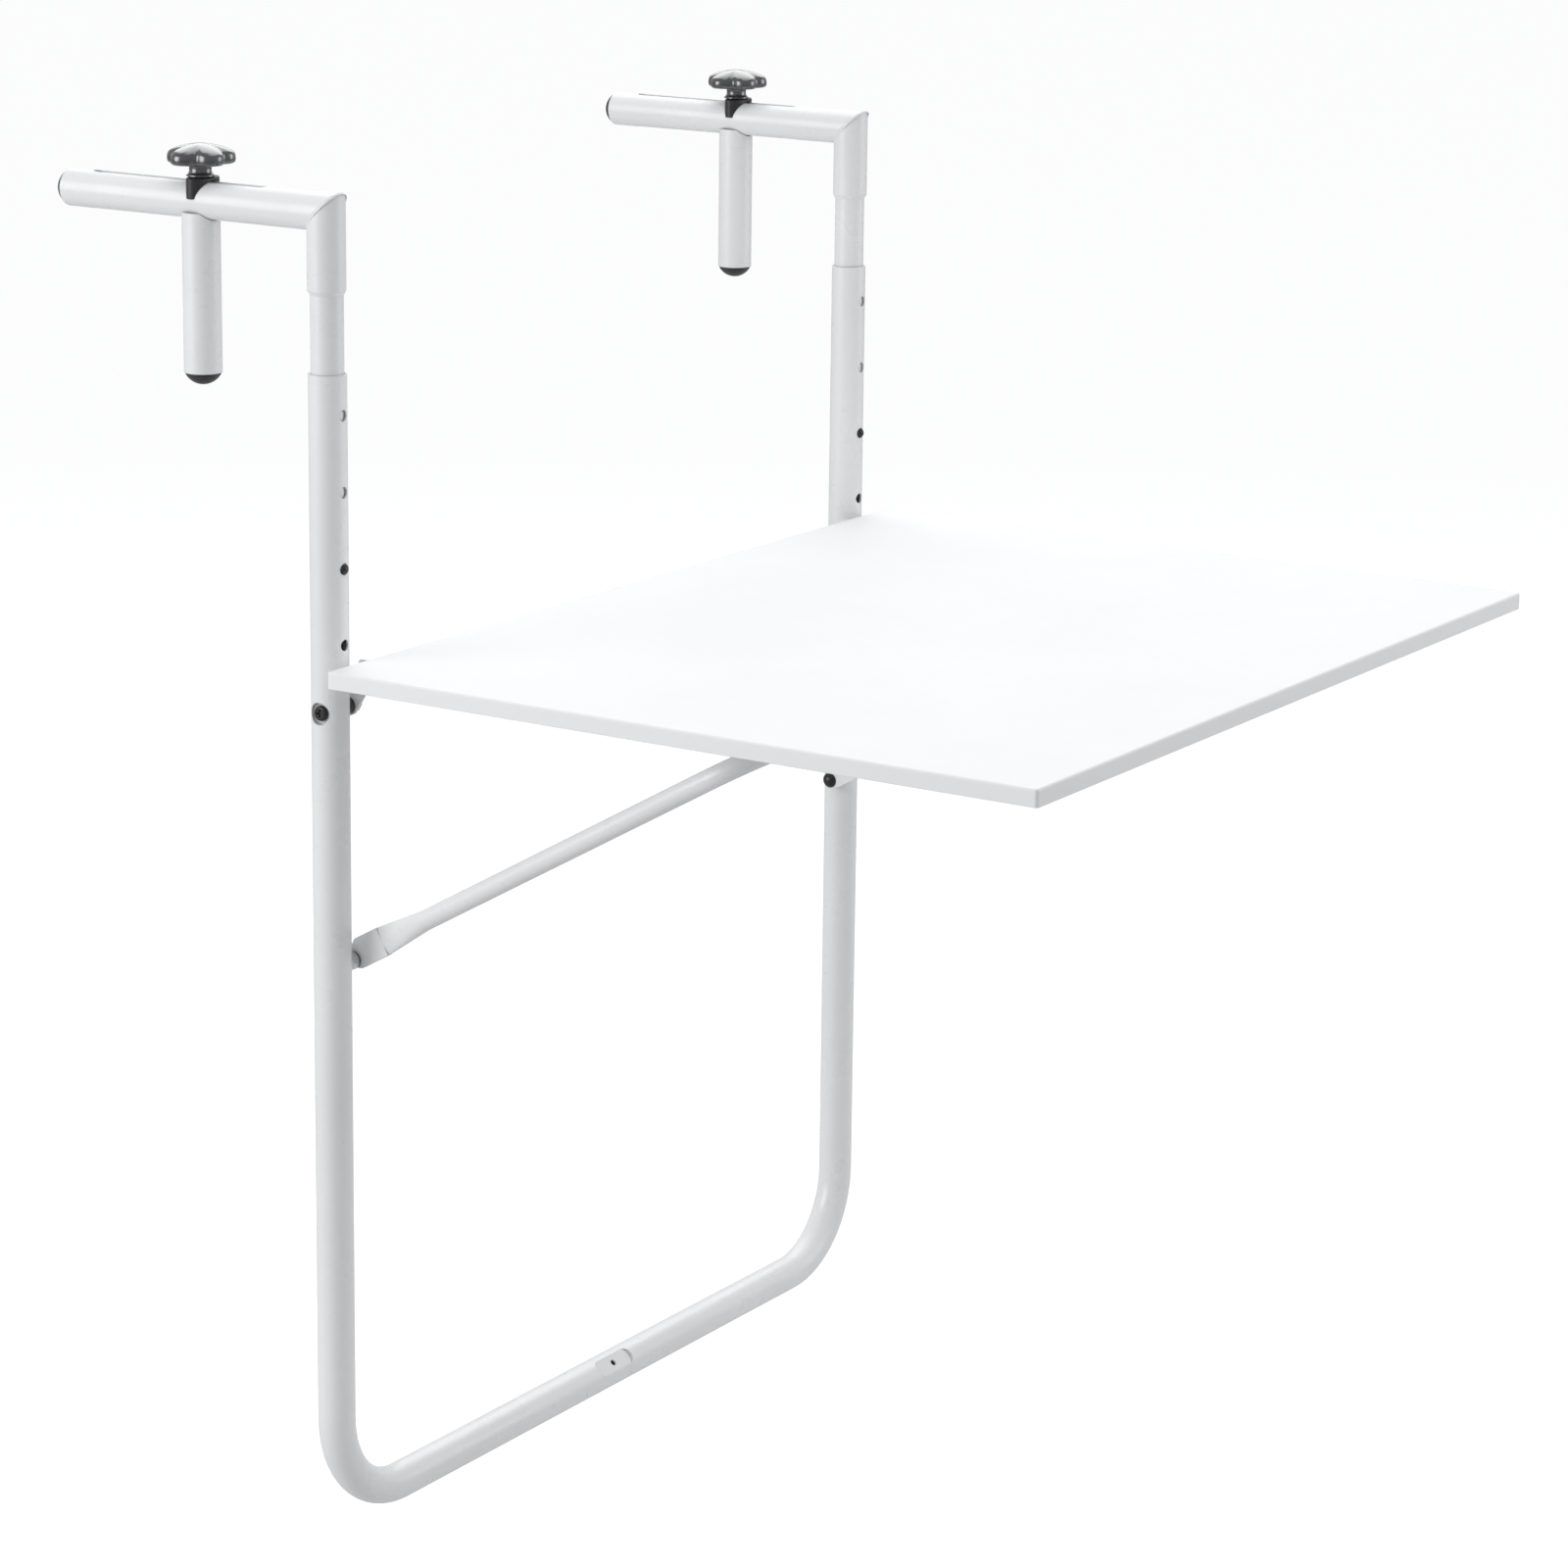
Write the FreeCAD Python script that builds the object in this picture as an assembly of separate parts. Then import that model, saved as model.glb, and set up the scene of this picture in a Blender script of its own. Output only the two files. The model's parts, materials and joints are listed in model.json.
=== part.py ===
import FreeCAD, Part
import math
import os

# Balcony railing bar table, in millimetres.
# X runs along the railing, Y points over the railing, Z is up.
# The origin is the railing's corner: midway between the hooks, at the back of the
# uprights and the underside of the hook arms.

# Frame tube and layout
TUBE_RADIUS = 11.0
TUBE_WALL = 1.2
UPRIGHT_SPACING = 552.0
BOTTOM_BAR_DROP = 763.0
FRAME_RIM_DROP = 80.0
FRAME_BEND_RADIUS = 60.0

# Height holes and their sprung buttons
HOLE_RADIUS = 3.3
HOLE_PITCH = 44.0
HOLE_COUNT = 4
FIRST_HOLE_BELOW_RIM = 23.0
HOLE_IN_USE = 3
BUTTON_RADIUS = 3.0
BUTTON_DOME = 1.6
BUTTON_STAND_OUT = 2.0
BUTTON_FLANGE_RADIUS = 4.0
BUTTON_FLANGE = 1.0
BUTTON_FLANGE_DEPTH = 5.9
SPRING_STRIP = 0.5
SPRING_WIDTH = 6.0
SPRING_LEG = 20.0
SPRING_TAIL = 4.0
SPRING_BUTTON_GAP = 0.1
SPRING_WALL_GAP = 0.14

# Pressed seat and hole in the middle of the bottom bar
BAR_SEAT_LENGTH = 36.0
BAR_SEAT_WIDTH = 12.0
BAR_SEAT_DEPTH = 1.6
BAR_SEAT_TILT = 45.0
BAR_HOLE_RADIUS = 2.0

# Hooks
ARM_LENGTH = 175.0
SLIDE_CLEARANCE = 0.3
SLIDE_WALL = 1.2
NECK_DROP = 33.0
NECK_LENGTH = 2.5
SLIDE_BELOW_BUTTON = 24.0
PLUG_FLANGE_RADIUS = 10.2
PLUG_FLANGE = 1.0
PLUG_DOME = 6.0
PLUG_STUB = 12.0
PLUG_STUB_CLEARANCE = 0.1

# Clamps
RAIL_GAP = 68.0
CLAMP_TRAVEL_IN = 45.0
CLAMP_TRAVEL_OUT = 75.0
LEG_DROP = 88.0
LEG_COPE_RISE = 4.0
CLAMP_CLEARANCE = 0.3
STUD_RADIUS = 3.0
STUD_DROP = 16.0
STUD_IN_KNOB = 13.0
THREAD_CLEARANCE = 0.05
LEG_NUT_LENGTH = 12.0
LEG_NUT_DROP = 1.0
SADDLE_WIDTH = 24.2
SADDLE_LENGTH = 14.4
SADDLE_FORWARD = 1.6
SADDLE_CROWN = 2.0
SADDLE_SKIRT = 9.7
SADDLE_EDGE = 1.0
KNOB_RADIUS = 20.2
KNOB_LOBES = 5
KNOB_LOBE_RADIUS = 8.0
KNOB_WAIST_RADIUS = 15.0
KNOB_RIM = 6.2
KNOB_DOME = 5.6
KNOB_EDGE = 1.5
KNOB_HUB_RADIUS = 6.4
KNOB_FOOT_RADIUS = 8.2
KNOB_FOOT = 2.5
KNOB_HUB = 7.0
KNOB_TURN_RIGHT = 22.3
KNOB_TURN_LEFT = 6.1

# Tabletop, a folded sheet tray
TOP_WIDTH = 600.0
TOP_DEPTH = 460.0
TOP_EDGE = 10.0
TOP_DROP = 245.0
TOP_BACK_GAP = 5.5
TOP_CORNER_RADIUS = 2.0
TOP_EDGE_RADIUS = 1.5
SHEET = 1.2
TOP_LIP = 12.0
STIFFENER_X = 150.0
STIFFENER_CROWN = 34.0
STIFFENER_FLANGE = 12.0
STIFFENER_END_GAP = 0.8

# Tabletop hinges
HINGE_BELOW_TOP = 29.5
SIDE_PLANE = 17.5
EAR_PLATE = 2.0
EAR_TIP_RADIUS = 6.0
EAR_SLANT = 40.0
EAR_TOP_WIDTH = 8.0
EAR_TOE = 2.5
BRACKET_FLANGE = 34.5
BRACKET_TOP_GAP = 1.5
BRACKET_DROP = 15.5
RIVET_RADIUS = 2.0
RIVET_HEAD_RADIUS = 3.5
RIVET_HEAD = 1.2
RIVET_END_DISTANCE = 8.0
BOLT_RADIUS = 2.5
BOLT_CLEARANCE = 0.1
BOLT_HEAD_RADIUS = 4.4
BOLT_HEAD = 2.6
RECESS_WIDTH = 1.2
RECESS_LENGTH = 5.0
RECESS_DEPTH = 1.6
HINGE_SEAT_RADIUS = 6.5
HINGE_SEAT_DEPTH = 3.5
HINGE_SPACER_RADIUS = 5.0
HINGE_PLAY = 0.2
NUT_FLATS = 8.0
NUT_HEIGHT = 4.7
NUT_PLAY = 0.3
BOLT_PAST_NUT = 0.8

# Support bar, its pivots and its catches
SUPPORT_RADIUS = 6.0
SUPPORT_WALL = 1.2
SUPPORT_LENGTH = 320.0
SUPPORT_BEND_RADIUS = 36.0
SUPPORT_VENT_RADIUS = 1.5
PIVOT_BELOW_TOP = 180.5
PIVOT_FORWARD = 3.0
PIVOT_BELOW_AXIS = 2.0
FLAT_WIDTH = 17.6
FLAT_THICKNESS = 3.4
FLAT_LENGTH = 25.0
FLARE_LENGTH = 34.0
EYE_RADIUS = 5.2
EYE_SHOULDER = 6.5
EYE_TOE = 3.0
EYE_SLANT = 40.0
PIVOT_WASHER_RADIUS = 5.0
PIVOT_WASHER = 1.4
PIVOT_SPACER_RADIUS = 5.4
PIVOT_PLAY = 0.2
PIVOT_HEAD_RADIUS = 5.0
PIVOT_HEAD = 3.1
INSERT_RADIUS = 3.5
INSERT_LENGTH = 10.0
INSERT_BULB_RADIUS = 5.0
INSERT_BULB = 4.0
CATCH_BASE = 2.7
CATCH_WIDTH = 30.0
CATCH_WALL = 3.5
CATCH_WALL_DROP = 14.5
CATCH_GAP = 0.5
CATCH_SEAT_GAP = 0.3
CATCH_PAD = 12.5
RAMP_START = 3.0
RAMP_LENGTH = 18.5
RAMP_DROP = 7.4
RAMP_LEAD_GAP = 0.2
SCREW_RADIUS = 2.0
SCREW_HEAD_RADIUS = 3.5
SCREW_HEAD = 2.2
SCREW_LENGTH = 5.5

# Length that a cutting shape runs past the face it cuts, and the smallest gap counted as one
OVERRUN = 1.0
TOLERANCE = 1e-6

# Places that follow from the sizes above
BORE_RADIUS = TUBE_RADIUS - TUBE_WALL
SLIDE_RADIUS = BORE_RADIUS - SLIDE_CLEARANCE
SLIDE_BORE_RADIUS = SLIDE_RADIUS - SLIDE_WALL
UPRIGHT_X = UPRIGHT_SPACING / 2
UPRIGHT_Y = -TUBE_RADIUS
ARM_Z = TUBE_RADIUS
RIM_Z = -FRAME_RIM_DROP
BAR_Z = -BOTTOM_BAR_DROP
FIRST_HOLE_Z = RIM_Z - FIRST_HOLE_BELOW_RIM
BUTTON_Z = FIRST_HOLE_Z - (HOLE_IN_USE - 1) * HOLE_PITCH
SLIDE_END_Z = BUTTON_Z - SLIDE_BELOW_BUTTON
LEG_Y = RAIL_GAP + TUBE_RADIUS
TOP_Z = -TOP_DROP
TOP_UNDER_Z = TOP_Z - TOP_EDGE
TOP_BACK_Y = UPRIGHT_Y - TUBE_RADIUS - TOP_BACK_GAP
TOP_FRONT_Y = TOP_BACK_Y - TOP_DEPTH
HINGE_Z = TOP_Z - HINGE_BELOW_TOP
SIDE_X = UPRIGHT_X - SIDE_PLANE
EAR_OUTER_X = SIDE_X + EAR_PLATE / 2
EAR_INNER_X = SIDE_X - EAR_PLATE / 2
HINGE_SEAT_X = UPRIGHT_X + TUBE_RADIUS - HINGE_SEAT_DEPTH
PIVOT_Y = UPRIGHT_Y - PIVOT_FORWARD
PIVOT_Z = TOP_Z - PIVOT_BELOW_TOP
CROSSBAR_Z = TOP_UNDER_Z - CATCH_BASE - CATCH_SEAT_GAP - SUPPORT_RADIUS
SUPPORT_REACH = math.hypot(SUPPORT_LENGTH, PIVOT_BELOW_AXIS)
SUPPORT_ANGLE = (math.degrees(math.asin((CROSSBAR_Z - PIVOT_Z) / SUPPORT_REACH))
                 - math.degrees(math.atan2(PIVOT_BELOW_AXIS, SUPPORT_LENGTH)))
CROSSBAR_Y = PIVOT_Y - math.sqrt(SUPPORT_REACH ** 2 - (CROSSBAR_Z - PIVOT_Z) ** 2)
SADDLE_TOP_Z = ARM_Z + TUBE_RADIUS + SADDLE_CROWN
KNOB_BASE_Z = SADDLE_TOP_Z + CLAMP_CLEARANCE
KNOB_HEAD_Z = KNOB_BASE_Z + KNOB_HUB
KNOB_RIM_Z = KNOB_HEAD_Z + KNOB_RIM

X_AXIS = FreeCAD.Vector(1, 0, 0)
Y_AXIS = FreeCAD.Vector(0, 1, 0)
Z_AXIS = FreeCAD.Vector(0, 0, 1)
ORIGIN = FreeCAD.Vector(0, 0, 0)

# Cutting shapes that only have to pass right through a piece are this long
REACH = 100.0


def point(x, y, z):
    return FreeCAD.Vector(x, y, z)


def cylinder(radius, start, end):
    run = end - start
    return Part.makeCylinder(radius, run.Length, start, run)


def cone(start_radius, end_radius, start, end):
    run = end - start
    return Part.makeCone(start_radius, end_radius, run.Length, start, run)


def box(x_span, y_span, z_span):
    corner = point(x_span[0], y_span[0], z_span[0])
    return Part.makeBox(x_span[1] - x_span[0], y_span[1] - y_span[0], z_span[1] - z_span[0], corner)


def joined(shapes):
    return shapes[0].multiFuse(shapes[1:]).removeSplitter()


def mirrored(shape):
    return shape.mirror(ORIGIN, X_AXIS)


def prism_along_x(outline, x_span):
    corners = [point(x_span[0], y, z) for y, z in outline]
    face = Part.Face(Part.makePolygon(corners + corners[:1]))
    return face.extrude(point(x_span[1] - x_span[0], 0, 0))


def dome(radius, height, base, direction):
    sphere_radius = (radius ** 2 + height ** 2) / (2 * height)
    half_angle = math.asin(min(1.0, radius / sphere_radius)) / 2
    lift = height - sphere_radius
    middle = point(sphere_radius * math.sin(half_angle), 0,
                   lift + sphere_radius * math.cos(half_angle))
    rim = point(radius, 0, 0)
    tip = point(0, 0, height)
    profile = Part.Wire([Part.makeLine(ORIGIN, rim), Part.Arc(rim, middle, tip).toShape(),
                         Part.makeLine(tip, ORIGIN)])
    cap = Part.Face(profile).revolve(ORIGIN, Z_AXIS, 360)
    cap.Placement = FreeCAD.Placement(base, FreeCAD.Rotation(Z_AXIS, direction))
    return cap


def elbow(radius, bend_radius, start, normal, centre, axis):
    section = Part.Face(Part.Wire(Part.makeCircle(radius, start, normal)))
    return section.revolve(centre, axis, 90)


def vertical_edges(shape):
    return [edge for edge in shape.Edges
            if edge.BoundBox.XLength < TOLERANCE and edge.BoundBox.YLength < TOLERANCE]


def edges_at_height(shape, height):
    return [edge for edge in shape.Edges
            if abs(edge.BoundBox.ZMin - height) < TOLERANCE and edge.BoundBox.ZLength < TOLERANCE]


def rounded_plate(x_span, y_span, z_span, corner_radius):
    plate = box(x_span, y_span, z_span)
    return plate.makeFillet(corner_radius, vertical_edges(plate))


# Frame: one tube bent into a U, with height holes, hinge seats and the bar's seat
def frame_core(radius, top_z):
    bend_z = BAR_Z + FRAME_BEND_RADIUS
    bend_x = UPRIGHT_X - FRAME_BEND_RADIUS
    bend_start = point(UPRIGHT_X, UPRIGHT_Y, bend_z)
    upright = cylinder(radius, bend_start, point(UPRIGHT_X, UPRIGHT_Y, top_z))
    bend = elbow(radius, FRAME_BEND_RADIUS, bend_start, Z_AXIS, point(bend_x, UPRIGHT_Y, bend_z), Y_AXIS)
    bar = cylinder(radius, point(-bend_x, UPRIGHT_Y, BAR_Z), point(bend_x, UPRIGHT_Y, BAR_Z))
    return joined([bar, upright, bend, mirrored(upright), mirrored(bend)])


def hinge_pocket(radius, seat_x):
    start = point(seat_x, UPRIGHT_Y, HINGE_Z)
    return cylinder(radius, start, start + X_AXIS * REACH)


def bar_pocket(width, depth_from_axis):
    straight = (BAR_SEAT_LENGTH - BAR_SEAT_WIDTH) / 2
    lift = Z_AXIS * REACH
    pieces = [box((-straight, straight), (-width / 2, width / 2), (0, REACH))]
    for end in (-straight, straight):
        pieces.append(cylinder(width / 2, point(end, 0, 0), point(end, 0, 0) + lift))
    pocket = joined(pieces)
    pocket.translate(Z_AXIS * depth_from_axis)
    pocket.rotate(ORIGIN, X_AXIS, 90 - BAR_SEAT_TILT)
    pocket.translate(point(0, UPRIGHT_Y, BAR_Z))
    return pocket


def u_frame():
    outer = frame_core(TUBE_RADIUS, RIM_Z)
    inner = frame_core(BORE_RADIUS, RIM_Z + TUBE_RADIUS)
    seat = hinge_pocket(HINGE_SEAT_RADIUS, HINGE_SEAT_X)
    seat_wall = hinge_pocket(HINGE_SEAT_RADIUS + TUBE_WALL, HINGE_SEAT_X - TUBE_WALL)
    bar_seat = TUBE_RADIUS - BAR_SEAT_DEPTH
    outer = outer.cut([seat, mirrored(seat), bar_pocket(BAR_SEAT_WIDTH, bar_seat)])
    inner = inner.cut([seat_wall, mirrored(seat_wall),
                       bar_pocket(BAR_SEAT_WIDTH + 2 * TUBE_WALL, bar_seat - TUBE_WALL)])
    holes = []
    for index in range(HOLE_COUNT):
        hole_z = FIRST_HOLE_Z - index * HOLE_PITCH
        holes.append(cylinder(HOLE_RADIUS, point(UPRIGHT_X, UPRIGHT_Y, hole_z),
                              point(UPRIGHT_X, UPRIGHT_Y - 2 * TUBE_RADIUS, hole_z)))
    holes.append(cylinder(BOLT_RADIUS, point(UPRIGHT_X - REACH, UPRIGHT_Y, HINGE_Z),
                          point(UPRIGHT_X + REACH, UPRIGHT_Y, HINGE_Z)))
    holes.append(cylinder(INSERT_RADIUS, point(UPRIGHT_X - REACH, PIVOT_Y, PIVOT_Z),
                          point(UPRIGHT_X, PIVOT_Y, PIVOT_Z)))
    holes += [mirrored(hole) for hole in holes]
    bar_hole = Part.makeCylinder(BAR_HOLE_RADIUS, REACH)
    bar_hole.rotate(ORIGIN, X_AXIS, 90 - BAR_SEAT_TILT)
    bar_hole.translate(point(0, UPRIGHT_Y, BAR_Z))
    return outer.cut([inner] + holes + [bar_hole])


# Hooks: a mitred elbow of tube, necked down to slide inside the upright
def beyond_mitre():
    return prism_along_x([(-REACH, REACH), (REACH, -REACH), (REACH, REACH)],
                         (UPRIGHT_X - REACH, UPRIGHT_X + REACH))


def before_mitre():
    return prism_along_x([(-REACH, REACH), (REACH, -REACH), (-REACH, -REACH)],
                         (UPRIGHT_X - REACH, UPRIGHT_X + REACH))


def hook_post(wide_radius, narrow_radius, overrun):
    def at(z):
        return point(UPRIGHT_X, UPRIGHT_Y, z)
    neck_top = -NECK_DROP
    neck_end = neck_top - NECK_LENGTH
    return joined([cylinder(wide_radius, at(neck_top), at(2 * TUBE_RADIUS + overrun)),
                   cone(narrow_radius, wide_radius, at(neck_end), at(neck_top)),
                   cylinder(narrow_radius, at(SLIDE_END_Z - overrun), at(neck_end))])


def hook_upright():
    solid = hook_post(TUBE_RADIUS, SLIDE_RADIUS, 0.0).cut(beyond_mitre())
    bore = hook_post(BORE_RADIUS, SLIDE_BORE_RADIUS, OVERRUN)
    button_hole = cylinder(HOLE_RADIUS, point(UPRIGHT_X, UPRIGHT_Y, BUTTON_Z),
                           point(UPRIGHT_X, UPRIGHT_Y - TUBE_RADIUS, BUTTON_Z))
    return solid.cut([bore, button_hole])


def clamp_slot():
    y_span = (LEG_Y - CLAMP_TRAVEL_IN, LEG_Y + CLAMP_TRAVEL_OUT)
    half = STUD_RADIUS + CLAMP_CLEARANCE
    z_span = (ARM_Z - 2 * TUBE_RADIUS, ARM_Z + 2 * TUBE_RADIUS)
    pieces = [box((UPRIGHT_X - half, UPRIGHT_X + half), y_span, z_span)]
    for end in y_span:
        pieces.append(cylinder(half, point(UPRIGHT_X, end, z_span[0]), point(UPRIGHT_X, end, z_span[1])))
    return joined(pieces)


def arm_rod(radius, start_y, end_y):
    return cylinder(radius, point(UPRIGHT_X, start_y, ARM_Z), point(UPRIGHT_X, end_y, ARM_Z))


def hook_arm():
    start = 2 * UPRIGHT_Y
    solid = arm_rod(TUBE_RADIUS, start, ARM_LENGTH).cut(before_mitre())
    return solid.cut([arm_rod(BORE_RADIUS, start - OVERRUN, ARM_LENGTH + OVERRUN), clamp_slot()])


def end_plug(mouth, direction):
    stub = cylinder(BORE_RADIUS - PLUG_STUB_CLEARANCE, mouth - direction * PLUG_STUB, mouth)
    flange = cylinder(PLUG_FLANGE_RADIUS, mouth, mouth + direction * PLUG_FLANGE)
    cap = dome(PLUG_FLANGE_RADIUS, PLUG_DOME, mouth + direction * PLUG_FLANGE, direction)
    return joined([stub, flange, cap])


def arm_plug():
    return end_plug(point(UPRIGHT_X, ARM_LENGTH, ARM_Z), Y_AXIS)


# Sprung height button and the bent strip behind it
def snap_button():
    def at(depth):
        return point(UPRIGHT_X, UPRIGHT_Y - depth, BUTTON_Z)
    tip = TUBE_RADIUS + BUTTON_STAND_OUT
    flange_front = BUTTON_FLANGE_DEPTH + BUTTON_FLANGE
    flange = cylinder(BUTTON_FLANGE_RADIUS, at(BUTTON_FLANGE_DEPTH), at(flange_front))
    stem = cylinder(BUTTON_RADIUS, at(flange_front), at(tip - BUTTON_DOME))
    cap = dome(BUTTON_RADIUS, BUTTON_DOME, at(tip - BUTTON_DOME), Y_AXIS * -1)
    return joined([flange, stem, cap])


def button_spring():
    front = UPRIGHT_Y - BUTTON_FLANGE_DEPTH + SPRING_BUTTON_GAP
    half_width = SPRING_WIDTH / 2
    rear = UPRIGHT_Y + math.sqrt(SLIDE_BORE_RADIUS ** 2 - half_width ** 2) - SPRING_WALL_GAP
    x_span = (UPRIGHT_X - half_width, UPRIGHT_X + half_width)
    z_span = (BUTTON_Z - SPRING_TAIL, BUTTON_Z + SPRING_LEG)
    bend_radius = (rear - front) / 2
    start = point(x_span[0], (front + rear) / 2, z_span[1])
    bend = cylinder(bend_radius, start, start + X_AXIS * SPRING_WIDTH)
    hollow = cylinder(bend_radius - SPRING_STRIP, start, start + X_AXIS * SPRING_WIDTH)
    below = box(x_span, (front, rear), (z_span[1] - bend_radius, z_span[1]))
    return joined([box(x_span, (front, front + SPRING_STRIP), z_span),
                   box(x_span, (rear - SPRING_STRIP, rear), z_span),
                   bend.cut([hollow, below])])


# Clamps: a leg under the arm, pulled up by a knob on a saddle above it
def clamp_leg():
    def at(z):
        return point(UPRIGHT_X, LEG_Y, z)
    tube = cylinder(TUBE_RADIUS, at(-LEG_DROP), at(LEG_COPE_RISE))
    bore = cylinder(BORE_RADIUS, at(-LEG_DROP - OVERRUN), at(LEG_COPE_RISE + OVERRUN))
    return tube.cut([bore, arm_rod(TUBE_RADIUS + CLAMP_CLEARANCE, 0, ARM_LENGTH)])


def leg_plug():
    return end_plug(point(UPRIGHT_X, LEG_Y, -LEG_DROP), Z_AXIS * -1)


def leg_nut():
    top = point(UPRIGHT_X, LEG_Y, -LEG_NUT_DROP)
    bottom = top - Z_AXIS * LEG_NUT_LENGTH
    thread = cylinder(STUD_RADIUS + THREAD_CLEARANCE, bottom, top)
    return cylinder(BORE_RADIUS, bottom, top).cut(thread)


def clamp_saddle():
    base = point(UPRIGHT_X, LEG_Y - SADDLE_FORWARD, SADDLE_TOP_Z - SADDLE_CROWN - SADDLE_SKIRT)
    outline = Part.Wire(Part.Ellipse(base, SADDLE_WIDTH / 2, SADDLE_LENGTH / 2).toShape())
    block = Part.Face(outline).extrude(Z_AXIS * (SADDLE_CROWN + SADDLE_SKIRT))
    block = block.makeFillet(SADDLE_EDGE, edges_at_height(block, SADDLE_TOP_Z))
    stud_hole = cylinder(STUD_RADIUS + CLAMP_CLEARANCE, point(UPRIGHT_X, LEG_Y, 0),
                         point(UPRIGHT_X, LEG_Y, SADDLE_TOP_Z + OVERRUN))
    return block.cut([arm_rod(TUBE_RADIUS + CLAMP_CLEARANCE, 0, ARM_LENGTH), stud_hole])


def lobed_outline(turn, z):
    lobe_centre = KNOB_RADIUS - KNOB_LOBE_RADIUS
    half_step = math.pi / KNOB_LOBES
    swing = lobe_centre * math.cos(half_step)
    waist = KNOB_WAIST_RADIUS
    spare = waist ** 2 + lobe_centre ** 2 - 2 * waist * swing - KNOB_LOBE_RADIUS ** 2
    hollow_radius = spare / (2 * (swing + KNOB_LOBE_RADIUS - waist))
    hollow_centre = waist + hollow_radius

    def polar(radius, angle):
        return point(UPRIGHT_X + radius * math.cos(angle), LEG_Y + radius * math.sin(angle), z)

    share = KNOB_LOBE_RADIUS / (KNOB_LOBE_RADIUS + hollow_radius)
    edges = []
    for index in range(KNOB_LOBES):
        angle = math.radians(turn) + 2 * half_step * index
        lobe = polar(lobe_centre, angle)
        before = polar(hollow_centre, angle - half_step)
        after = polar(hollow_centre, angle + half_step)
        start = lobe + (before - lobe) * share
        end = lobe + (after - lobe) * share
        next_lobe = polar(lobe_centre, angle + 2 * half_step)
        next_start = next_lobe + (after - next_lobe) * share
        edges.append(Part.Arc(start, polar(KNOB_RADIUS, angle), end).toShape())
        edges.append(Part.Arc(end, polar(waist, angle + half_step), next_start).toShape())
    return Part.Wire(edges)


def knob_rod(radius, low, high):
    return cylinder(radius, point(UPRIGHT_X, LEG_Y, low), point(UPRIGHT_X, LEG_Y, high))


def clamp_knob(turn):
    def at(z):
        return point(UPRIGHT_X, LEG_Y, z)
    lobed = Part.Face(lobed_outline(turn, KNOB_HEAD_Z)).extrude(Z_AXIS * (KNOB_RIM + KNOB_DOME))
    crown = dome(KNOB_RADIUS + OVERRUN, KNOB_DOME, at(KNOB_RIM_Z), Z_AXIS)
    blank = joined([knob_rod(KNOB_RADIUS + OVERRUN, KNOB_HEAD_Z, KNOB_RIM_Z), crown])
    head = lobed.common(blank)
    rim = [edge for edge in head.Edges
           if edge.BoundBox.ZMin > KNOB_RIM_Z - TOLERANCE and edge.BoundBox.ZLength > TOLERANCE]
    head = head.makeFillet(KNOB_EDGE, rim)
    foot = cone(KNOB_FOOT_RADIUS, KNOB_HUB_RADIUS, at(KNOB_BASE_Z), at(KNOB_BASE_Z + KNOB_FOOT))
    hub = knob_rod(KNOB_HUB_RADIUS, KNOB_BASE_Z + KNOB_FOOT, KNOB_HEAD_Z)
    socket = knob_rod(STUD_RADIUS, KNOB_BASE_Z - OVERRUN, KNOB_BASE_Z + STUD_IN_KNOB)
    return joined([head, hub, foot]).cut(socket)


def right_knob():
    return clamp_knob(KNOB_TURN_RIGHT)


def left_knob():
    return mirrored(clamp_knob(KNOB_TURN_LEFT))


def knob_stud():
    return knob_rod(STUD_RADIUS, -STUD_DROP, KNOB_BASE_Z + STUD_IN_KNOB)


# Tabletop tray, open below inside its turned lip
def tabletop():
    half = TOP_WIDTH / 2
    outer = rounded_plate((-half, half), (TOP_FRONT_Y, TOP_BACK_Y), (TOP_UNDER_Z, TOP_Z),
                          TOP_CORNER_RADIUS)
    outer = outer.makeFillet(TOP_EDGE_RADIUS, edges_at_height(outer, TOP_Z))
    hollow = rounded_plate((-half + SHEET, half - SHEET), (TOP_FRONT_Y + SHEET, TOP_BACK_Y - SHEET),
                           (TOP_UNDER_Z + SHEET, TOP_Z - SHEET), TOP_CORNER_RADIUS - SHEET)
    rim = SHEET + TOP_LIP
    mouth = rounded_plate((-half + rim, half - rim), (TOP_FRONT_Y + rim, TOP_BACK_Y - rim),
                          (TOP_UNDER_Z - OVERRUN, TOP_UNDER_Z + 2 * SHEET), TOP_CORNER_RADIUS)
    return outer.cut([hollow, mouth])


def top_stiffener():
    half_crown = STIFFENER_CROWN / 2
    wide = half_crown + STIFFENER_FLANGE
    end = SHEET + TOP_LIP + STIFFENER_END_GAP
    y_span = (TOP_FRONT_Y + end, TOP_BACK_Y - end)
    half_channel = half_crown - SHEET
    crown = box((STIFFENER_X - half_crown, STIFFENER_X + half_crown), y_span,
                (TOP_UNDER_Z, TOP_Z - SHEET))
    channel = box((STIFFENER_X - half_channel, STIFFENER_X + half_channel), y_span,
                  (TOP_UNDER_Z + SHEET, TOP_Z - SHEET))
    flanges = box((STIFFENER_X - wide, STIFFENER_X + wide), y_span,
                  (TOP_Z - 2 * SHEET, TOP_Z - SHEET))
    screw_holes = [cylinder(SCREW_RADIUS, point(STIFFENER_X, y, TOP_UNDER_Z - OVERRUN),
                            point(STIFFENER_X, y, TOP_UNDER_Z + 2 * SHEET))
                   for y in catch_screw_places()]
    return joined([crown, flanges]).cut([channel] + screw_holes)


# Hinge brackets: a tapered ear beside each upright, riveted to the tray's back
def hinge_rod(radius, start_x, end_x):
    return cylinder(radius, point(start_x, UPRIGHT_Y, HINGE_Z), point(end_x, UPRIGHT_Y, HINGE_Z))


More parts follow.
